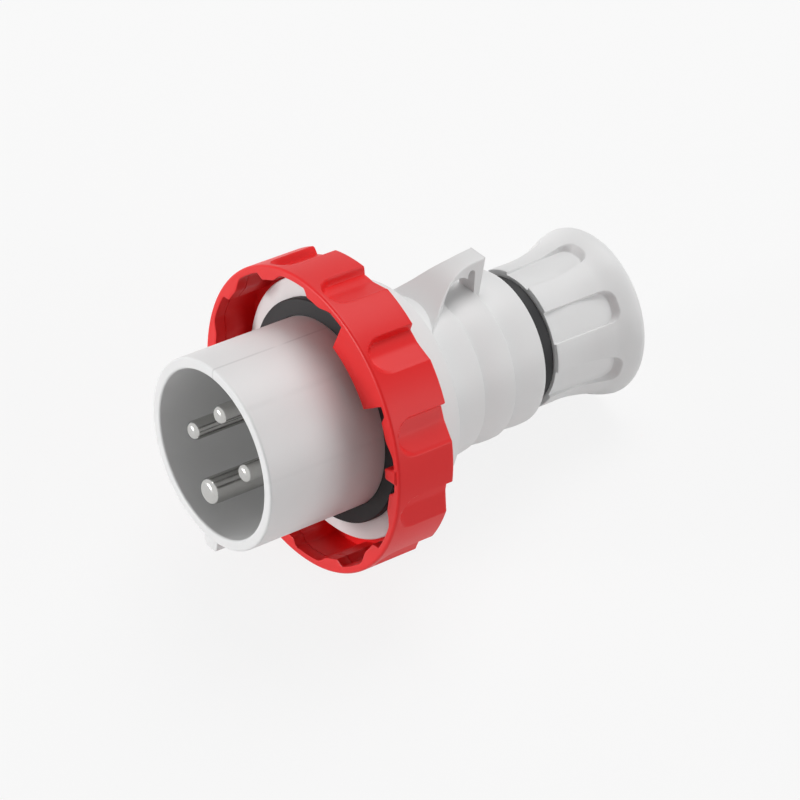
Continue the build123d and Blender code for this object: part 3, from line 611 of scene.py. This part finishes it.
bell = rounded([
    (NECK_END_Y, SEAT_R, 0),
    (NECK_END_Y, BELL_R, MOULD_ROUND),
    (NECK_END_Y + BELL_STRAIGHT, BELL_R, BELL_ROUND),
    (BELL_END_Y, BELL_END_R, BELL_END_ROUND),
    (BELL_END_Y, STEP_ROOTS_R[0], 0),
], 6)
outline = [bell]
start = BELL_END_Y
for end, root, crown, lip, rounding in zip(STEP_ENDS_Y, STEP_ROOTS_R, STEP_CROWNS_R, STEP_LIPS_R, STEP_ROUNDS):
    y, r = swelling(start, end, root, crown, lip)
    y, r = rounded_lip(y, r, end, lip, rounding)
    outline.append(np.stack([y, r], -1))
    start = end
thread_y = np.arange(THREAD_START_Y, THREAD_END_Y, THREAD_PITCH / 8)
outline.append(np.array([(STEP_ENDS_Y[-1], GLAND_SPIGOT_R), (THREAD_START_Y - 0.4, GLAND_SPIGOT_R)]))
outline.append(np.stack([thread_y, 0 * thread_y + GLAND_SPIGOT_R], -1))
walls = [root - HOUSING_WALL for root in STEP_ROOTS_R]
outline.append(np.array([
    (GLAND_SPIGOT_END_Y - GLAND_SPIGOT_BEVEL, GLAND_SPIGOT_R),
    (GLAND_SPIGOT_END_Y, GLAND_SPIGOT_R - GLAND_SPIGOT_BEVEL),
    (GLAND_SPIGOT_END_Y, GLAND_BORE_R),
    (GLAND_SHELF_REAR_Y, GLAND_BORE_R),
    (GLAND_SHELF_REAR_Y, GLAND_SHELF_R),
    (STEP_ENDS_Y[2] - HOUSING_WALL, GLAND_SHELF_R),
    (STEP_ENDS_Y[2] - HOUSING_WALL, walls[2]),
    (STEP_ENDS_Y[1] - HOUSING_WALL, walls[2]),
    (STEP_ENDS_Y[1] - HOUSING_WALL, walls[1]),
    (STEP_ENDS_Y[0] - HOUSING_WALL, walls[1]),
    (STEP_ENDS_Y[0] - HOUSING_WALL, walls[0]),
    (SHOULDER_Y, walls[0]),
    (SHOULDER_Y, SEAT_R),
]))
outline = np.concatenate(outline)
# The housing is its outline turned about the axis, less a V groove that winds once
# round the spigot for each pitch along it.
angle = np.linspace(0, 360, 180, endpoint=False)[:, None]
on_thread = (outline[:, 0] >= THREAD_START_Y) & (outline[:, 0] < THREAD_END_Y)
on_thread = on_thread & (outline[:, 1] == GLAND_SPIGOT_R)
turns = outline[:, 0] / THREAD_PITCH - angle / 360
groove = np.abs((turns % 1) * 2 - 1)
radius = outline[:, 1] - THREAD_DEPTH * on_thread * np.clip(groove * 2.4 - 0.7, 0, 1)
housing = skin("rear_housing_moulding", about_axis(angle, outline[:, 0], radius), "plug_body",
               ["rear_housing"], crease=40)
grey_moulding = moulded("grey_moulding", GREY, 0.46)
dressed(housing, grey_moulding)

# Cord lug: moulded with the housing. A ramp that rises off the bell, narrows to a
# leg at the back, and leaves a crosswise eye under it for a cord. Beside the leg the
# eye runs up into a narrow notch with a round end.
LUG_TOP = ((57.0, 18.2), (60.1, 20.5), (65.0, 24.6), (70.0, 28.3), (76.0, 30.5), (82.0, 31.2))
LUG_HALF_WIDTHS = ((57.0, 13.4), (60.1, 10.7), (65.0, 7.0), (70.0, 4.4), (74.5, 3.2), (82.0, 3.0))
LUG_EYE = ((64.0, 19.6), (65.4, 21.2), (66.8, 23.4), (67.8, 25.2), (68.8, 26.4), (70.2, 27.3), (72.0, 27.7),
           (74.1, 27.6), (75.6, 27.1), (76.6, 26.4), (77.8, 25.0))
LUG_ROOT_Z = 16.0
LUG_FOOT_Y = 80.25
LUG_EDGE = 0.45
SLOT_WIDTH = 2.2
SLOT_TOP_Z = 28.7
SLOT_BOTTOM_Z = 17.0
SLOT_Y = 77.85
SLOT_DRILL_REACH = 8.0


def flowing(points, at):
    """A smooth line through a few points: cubic pieces whose slope at a point is the mean of its sides'
    slopes."""
    x, v = np.array(points, float).T
    slope = np.gradient(v, x)
    i = np.clip(np.searchsorted(x, at) - 1, 0, len(x) - 2)
    span = x[i + 1] - x[i]
    t = np.clip((at - x[i]) / span, 0, 1)
    rise = v[i] * (1 + 2 * t) * (1 - t) ** 2 + v[i + 1] * t * t * (3 - 2 * t)
    return rise + span * (slope[i] * t * (1 - t) ** 2 - slope[i + 1] * t * t * (1 - t))


# A section across the lug is a rectangle with rounded corners, as wide as twice its
# half width there, from the rear slope or the eye's arch up to the top.
lug_front, lug_rear = LUG_TOP[0][0], LUG_TOP[-1][0]
eye_front, eye_rear = LUG_EYE[0][0], LUG_EYE[-1][0]
lug_y = np.concatenate([
    np.linspace(lug_front, eye_front - 0.1, 16),
    [eye_front - 0.01, eye_front],
    np.linspace(eye_front + 0.1, eye_rear - 0.1, 60),
    [eye_rear, eye_rear + 0.01],
    np.linspace(eye_rear + 0.15, lug_rear, 22),
])
top_z = flowing(LUG_TOP, lug_y)
half_width = flowing(LUG_HALF_WIDTHS, lug_y)
eye_z = flowing(LUG_EYE, np.clip(lug_y, eye_front, eye_rear))
in_eye = (lug_y > eye_front - 0.005) & (lug_y < eye_rear + 0.005)
rear_share = np.clip((lug_y - LUG_FOOT_Y) / (lug_rear - LUG_FOOT_Y), 0, 1)
rear_z = LUG_ROOT_Z + (LUG_TOP[-1][1] - LUG_ROOT_Z) * rear_share
bottom_z = np.where(in_eye, eye_z, np.minimum(rear_z, top_z))
edge = np.minimum(LUG_EDGE, (top_z - bottom_z) * 0.45)[:, None]
corner = np.linspace(0, math.pi / 2, 5)
across = []
height = []
corners = ((1, 1, corner), (-1, 1, corner[::-1]), (-1, -1, corner), (1, -1, corner[::-1]))
for side_sign, top_sign, sweep in corners:
    flat_x = half_width[:, None] - edge
    flat_z = (top_z if top_sign > 0 else bottom_z)[:, None] - top_sign * edge
    across.append(side_sign * (flat_x + edge * np.cos(sweep)))
    height.append(flat_z + top_sign * edge * np.sin(sweep))
across = np.concatenate(across, 1)
height = np.concatenate(height, 1)
lug = skin("cord_lug", laid(across, lug_y[:, None], height), "plug_body", wrap=(False, True))
turn = np.linspace(0, 2 * math.pi, 33)[:-1]
end_z = np.where(np.sin(turn) >= 0, SLOT_TOP_Z - SLOT_WIDTH / 2, SLOT_BOTTOM_Z + SLOT_WIDTH / 2)
slot_y = SLOT_Y + SLOT_WIDTH / 2 * np.cos(turn)
slot_z = SLOT_WIDTH / 2 * np.sin(turn) + end_z
drill_ends = np.array([-SLOT_DRILL_REACH, SLOT_DRILL_REACH])[:, None]
drill = skin("slot_drill", laid(drill_ends, slot_y, slot_z), "plug_body", wrap=(False, True))
cut = lug.modifiers.new("slot", "BOOLEAN")
cut.object = drill
cut.solver = "MANIFOLD"
with_slot = bpy.data.meshes.new_from_object(lug.evaluated_get(bpy.context.evaluated_depsgraph_get()))
lug.modifiers.clear()
lug.data = with_slot
lug.data.shade_smooth()
lug.data.set_sharp_from_angle(angle=math.radians(35))
bpy.data.objects.remove(drill)
dressed(lug, grey_moulding)

# Neck gasket: a sleeve of black rubber that fills the gap between the last grip
# section and the nut, so that no water reaches the thread.
NECK_GASKET_R = 17.5
NECK_GASKET_LENGTH = 5.2
neck_gasket = turned("neck_gasket_sleeve", [
    (STEP_ENDS_Y[2], GLAND_SPIGOT_R + GASKET_GAP, 0),
    (STEP_ENDS_Y[2], NECK_GASKET_R, 0.1),
    (STEP_ENDS_Y[2] + NECK_GASKET_LENGTH, NECK_GASKET_R, 0.3),
    (STEP_ENDS_Y[2] + NECK_GASKET_LENGTH, GLAND_SPIGOT_R + GASKET_GAP, 0),
], "plug_body", ["neck_gasket"])
dressed(neck_gasket, black_rubber)

# Gland parts: the rubber bush that grips the cable, the slotted nylon collet that
# presses it, and the washer that the nut turns on. They show through the nut's mouth.
NYLON = (0.70, 0.67, 0.58)
natural_nylon = moulded("natural_nylon", NYLON, 0.5)
dressed(frame["nodes"]["gland_seal"], black_rubber)
dressed(frame["nodes"]["housing_seal"], black_rubber)
dressed(frame["nodes"]["clamp_collet"], natural_nylon)
dressed(frame["nodes"]["slip_washer"], natural_nylon)

# Gland nut: the same grey moulding, a straight collar that flares to a wide rounded
# rim, with seven grooves for the fingers, open at the front, whose floor rises a little.
NUT_FRONT_Y = 95.7
NUT_FRONT_R = 19.05
NUT_STRAIGHT = 8.0
NUT_WAIST_Y = 113.65
NUT_WAIST_R = 20.8
NUT_FLARE_Y = 120.6
NUT_FLARE_R = 22.95
NUT_REAR_ROUND = 2.3
NUT_SHOULDER_Y = 114.4
NUT_MOUTH_R = 9.4
NUT_MOUTH_FLARE = 2.2
NUT_FRONT_EDGE = 0.3
NUT_BORE_R = 16.25
NUT_GRIPS = 7
NUT_GRIP_PHASE = 52.5
NUT_GRIP_WIDTH = 8.6
NUT_GRIP_FRONT_R = 18.1
NUT_GRIP_REAR_R = 19.3
NUT_GRIP_END_Y = 115.6
NUT_GRIP_CORNER = 3.0
NUT_GRIP_EDGE = 0.35
NUT_GRIP_END_EDGE = 1.3
NUT_LAND_ACROSS = 5.0
NUT_REAR_Y = NUT_FLARE_Y + NUT_REAR_ROUND


def nut_side_r(y):
    """The nut's side: straight, then a soft flare through the waist to the rim."""
    start = NUT_FRONT_Y + NUT_STRAIGHT
    points = ((start - 4, NUT_FRONT_R), (start, NUT_FRONT_R), (NUT_WAIST_Y, NUT_WAIST_R),
              (NUT_FLARE_Y, NUT_FLARE_R), (NUT_FLARE_Y + 4, NUT_FLARE_R))
    return flowing(points, np.clip(y, start - 4, NUT_FLARE_Y))


def grip_angles(across, radius):
    """The angle from a groove's middle for a distance across it: its arcsine over the radius up to the land,
    then an even share of what is left to the middle of the land, which counts as 1 mm further."""
    edge = np.degrees(np.arcsin(np.minimum(np.abs(across), NUT_LAND_ACROSS) / radius))
    land = np.clip(np.abs(across) - NUT_LAND_ACROSS, 0, 1)
    return np.sign(across) * (edge + land * (180 / NUT_GRIPS - edge))


def groove_share(across, y):
    """1 in a groove and 0 outside: the plan is a strip as wide as a finger with round rear corners, and its
    wall is steep along the sides and softer round the rear end."""
    past_side = np.abs(across) - (NUT_GRIP_WIDTH / 2 - NUT_GRIP_CORNER)
    past_end = y - (NUT_GRIP_END_Y - NUT_GRIP_CORNER)
    outside = np.hypot(np.maximum(past_side, 0), np.maximum(past_end, 0))
    inside = NUT_GRIP_CORNER - outside
    edge = NUT_GRIP_EDGE + (NUT_GRIP_END_EDGE - NUT_GRIP_EDGE) * eased(past_end / NUT_GRIP_CORNER)
    return eased(inside / edge + 0.5)


# The nut is its outline turned about the axis and drawn in to the grooves' floor by
# their share; its rows and columns lie closer together at the grooves' walls.
side_y = np.concatenate([
    np.linspace(NUT_FRONT_Y + NUT_FRONT_EDGE, NUT_GRIP_END_Y - 3.4, 18),
    np.linspace(NUT_GRIP_END_Y - 3.2, NUT_GRIP_END_Y + 0.8, 33),
    np.linspace(NUT_GRIP_END_Y + 1.3, NUT_FLARE_Y, 7),
])
turn = np.linspace(0, math.pi / 2, 9)[1:]
side = np.stack([side_y, nut_side_r(side_y)], -1)
front = np.array([(NUT_FRONT_Y, NUT_FRONT_R - NUT_FRONT_EDGE),
                  (NUT_FRONT_Y + 0.3 * NUT_FRONT_EDGE, NUT_FRONT_R - 0.3 * NUT_FRONT_EDGE)])
rim = np.stack([NUT_FLARE_Y + NUT_REAR_ROUND * np.sin(turn),
                NUT_FLARE_R - NUT_REAR_ROUND + NUT_REAR_ROUND * np.cos(turn)], -1)
mouth = rounded([
    (NUT_REAR_Y, NUT_FLARE_R - NUT_REAR_ROUND - 2.0, 0),
    (NUT_REAR_Y, NUT_MOUTH_R + NUT_MOUTH_FLARE, 0.5),
    (NUT_REAR_Y - NUT_MOUTH_FLARE, NUT_MOUTH_R, 0.8),
    (NUT_SHOULDER_Y, NUT_MOUTH_R, 0.2),
    (NUT_SHOULDER_Y, NUT_BORE_R, 0),
    (NUT_FRONT_Y, NUT_BORE_R, 0.4),
    (NUT_FRONT_Y, NUT_BORE_R + 1.5, 0),
])[:-1]
outline = np.concatenate([front, side, rim, mouth])
wall_at = NUT_GRIP_WIDTH / 2
half = np.concatenate([[0.7], np.linspace(1.3, wall_at - 0.3, 16), np.linspace(wall_at - 0.2, wall_at + 0.3, 11),
                       NUT_LAND_ACROSS + np.array([-0.2, 0.0, 0.2, 0.5, 0.8])])
across = np.concatenate([-half[::-1], [0.0], half, [NUT_LAND_ACROSS + 1]])
across = np.tile(across, NUT_GRIPS)[:, None]
middle = np.repeat(np.arange(NUT_GRIPS) * 360 / NUT_GRIPS, len(across) // NUT_GRIPS)[:, None]
floor_r = np.interp(outline[:, 0], (NUT_FRONT_Y, NUT_GRIP_END_Y), (NUT_GRIP_FRONT_R, NUT_GRIP_REAR_R))
grooved = (np.arange(len(outline)) < len(front) + len(side)) & (outline[:, 1] > floor_r)
share = groove_share(across, outline[:, 0]) * grooved
radius = outline[:, 1] + (np.minimum(floor_r, outline[:, 1]) - outline[:, 1]) * share
angle = NUT_GRIP_PHASE + middle + grip_angles(across, np.maximum(radius, NUT_GRIP_FRONT_R))
nut = skin("gland_nut_moulding", about_axis(angle, outline[:, 0], radius), "gland_nut",
           ["gland_nut"], crease=42)
dressed(nut, grey_moulding)

# Floor, light and camera: a pale floor without an edge in view, large soft lamps,
# and the camera where the photograph's rim, pins and steps put it.
FLOOR_GREY = (0.80, 0.80, 0.80)
FLOOR_WHITE_SHARE = 0.84
FLOOR_REACH = 6.0
WORLD_STRENGTH = 0.28
LAMP_AIM_Z = 0.04
FOCAL_PIXELS = 3500.0
PICTURE_PIXELS = 800.0
CAMERA_AZIMUTH = 55.78
CAMERA_ELEVATION = 48.55
CAMERA_ROLL = -3.04
RIM_DEPTH = 0.8619
RIM_PIXEL = (210.5, 455.2)
SENSOR_MM = 36.0


def seen_white(finish):
    """1 for what the camera sees, straight or in gloss or glass, and 0 for the light that falls on the
    plug."""
    rays = [finish.node("ShaderNodeLightPath", {}, out=ray)
            for ray in ("Is Camera Ray", "Is Glossy Ray", "Is Transmission Ray")]
    return rays[0] + rays[1] + rays[2]


def floor_finish():
    """Matt white card to the lamps; to the camera, and in mirrors, mostly an even white with a faint shadow."""
    finish = Finish(bpy.data.materials.new("floor_card"))
    fibre = finish.noise(1.5, 3.0)
    card = finish.node("ShaderNodeBsdfDiffuse", {}, Color=finish.tint(FLOOR_GREY, fibre, 0.01), Roughness=1.0)
    white = finish.node("ShaderNodeEmission", {}, Color=(1.0, 1.0, 1.0, 1.0), Strength=1.0)
    seen = finish.node("ShaderNodeMixShader", {}, seen_white(finish) * FLOOR_WHITE_SHARE, card, white)
    finish.node("ShaderNodeOutputMaterial", {}, Surface=seen)
    return finish.home


floor_mesh = bpy.data.meshes.new("floor")
floor_corners = [(x * FLOOR_REACH, y * FLOOR_REACH, 0) for x, y in ((-1, -1), (1, -1), (1, 1), (-1, 1))]
floor_mesh.from_pydata(floor_corners, [], [(0, 1, 2, 3)])
floor = bpy.data.objects.new("floor", floor_mesh)
bpy.context.scene.collection.objects.link(floor)
dressed(floor, floor_finish())


def lamp(name, azimuth, elevation, distance, size, watts):
    """A square soft lamp that looks at the middle of the plug from a direction and a distance."""
    a, e = math.radians(azimuth), math.radians(elevation)
    away = np.array((math.sin(a) * math.cos(e), -math.cos(a) * math.cos(e), math.sin(e)))
    light = bpy.data.lights.new(name, "AREA")
    light.size = size
    light.energy = watts
    made = bpy.data.objects.new(name, light)
    made.location = away * distance + np.array((0, 0, LAMP_AIM_Z))
    made.rotation_euler = (math.pi / 2 - e, 0, a)
    bpy.context.scene.collection.objects.link(made)


lamp("key_lamp", 215, 60, 1.4, 0.9, 12)
lamp("front_lamp", -24, 8, 1.5, 0.4, 14.5)
lamp("fill_lamp", 121, 18, 1.5, 0.8, 6)
world = bpy.data.worlds.new("studio")
studio = Finish(world)
glow = studio.node("ShaderNodeBackground", {}, Color=(1.0, 1.0, 1.0, 1.0), Strength=WORLD_STRENGTH)
backdrop = studio.node("ShaderNodeBackground", {}, Color=(1.0, 1.0, 1.0, 1.0), Strength=1.0)
seen = studio.node("ShaderNodeMixShader", {}, seen_white(studio), glow, backdrop)
studio.node("ShaderNodeOutputWorld", {}, Surface=seen)
bpy.context.scene.world = world

a, e, roll = (math.radians(v) for v in (CAMERA_AZIMUTH, CAMERA_ELEVATION, CAMERA_ROLL))
towards = np.array((math.sin(a) * math.cos(e), -math.cos(a) * math.cos(e), math.sin(e)))
level = np.array((math.cos(a), math.sin(a), 0.0))
upright = np.cross(towards, level)
right = math.cos(roll) * level + math.sin(roll) * upright
upper = -math.sin(roll) * level + math.cos(roll) * upright
centre = PICTURE_PIXELS / 2
offset = (np.array(RIM_PIXEL) - centre) / FOCAL_PIXELS * RIM_DEPTH
eye = RIM + towards * RIM_DEPTH - right * offset[0] + upper * offset[1]
camera_data = bpy.data.cameras.new("camera")
camera_data.sensor_width = SENSOR_MM
camera_data.lens = FOCAL_PIXELS / PICTURE_PIXELS * SENSOR_MM
camera = bpy.data.objects.new("camera", camera_data)
camera.matrix_world = Matrix([(*row, place) for row, place in zip(np.stack([right, upper, towards], 1), eye)]
                             + [(0, 0, 0, 1)])
bpy.context.scene.collection.objects.link(camera)
bpy.context.scene.camera = camera
bpy.context.scene.view_settings.view_transform = "Standard"
